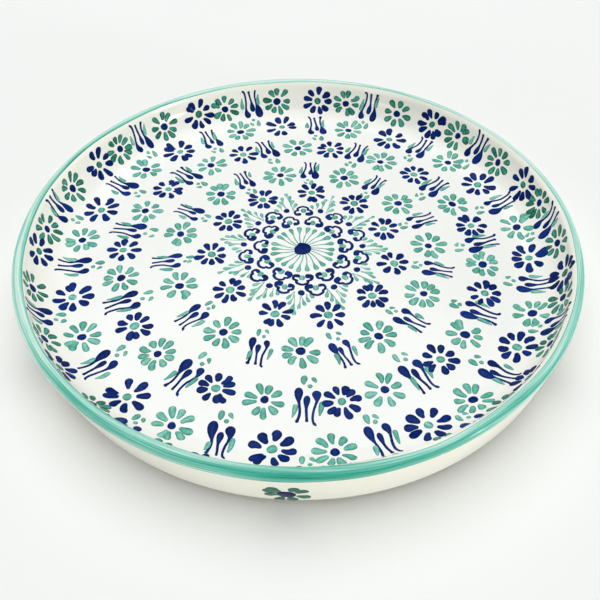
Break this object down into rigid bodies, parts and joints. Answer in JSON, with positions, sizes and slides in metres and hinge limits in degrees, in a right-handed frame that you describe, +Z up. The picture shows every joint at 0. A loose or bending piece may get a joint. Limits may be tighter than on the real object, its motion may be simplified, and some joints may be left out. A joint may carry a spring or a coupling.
{
  "type": "ceramic serving plate",
  "caption": "Round hand painted ceramic plate with a flat floor, a coved wall, a rounded banded lip and a low foot ring, for serving food.",
  "frame": {"origin": "centre of the plate in the plane that its foot ring stands on", "axes": "+Z up out of the plate along its axis; +Y away from the viewer of the picture; +X to the viewer's right"},
  "size_m": [0.3, 0.3, 0.0359],
  "materials": {
    "fired_clay": "bare fired earthenware, matt, fine grained",
    "cream_glaze": "glossy off-white glaze, slightly uneven",
    "white_glaze": "glossy warm white glaze",
    "green_paint": "glossy turquoise green brushed glaze colour, streaky, thinner and lighter where it is stretched",
    "cobalt_paint": "glossy cobalt blue raised brush colour"
  },
  "bodies": {
    "root": {"clay_body": "fired_clay", "foot_ring": "fired_clay", "wall_glaze": "cream_glaze", "base_glaze": "cream_glaze", "rim_band": "green_paint", "well_glaze": "white_glaze", "centre_dot": "cobalt_paint", "blue_bead_01": "cobalt_paint", "blue_bead_02": "cobalt_paint", "blue_bead_03": "cobalt_paint", "blue_bead_04": "cobalt_paint", "blue_bead_05": "cobalt_paint", "blue_bead_06": "cobalt_paint", "blue_bead_07": "cobalt_paint", "blue_bead_08": "cobalt_paint", "blue_bead_09": "cobalt_paint", "blue_bead_10": "cobalt_paint", "blue_bead_11": "cobalt_paint"}
  },
  "joints": []
}
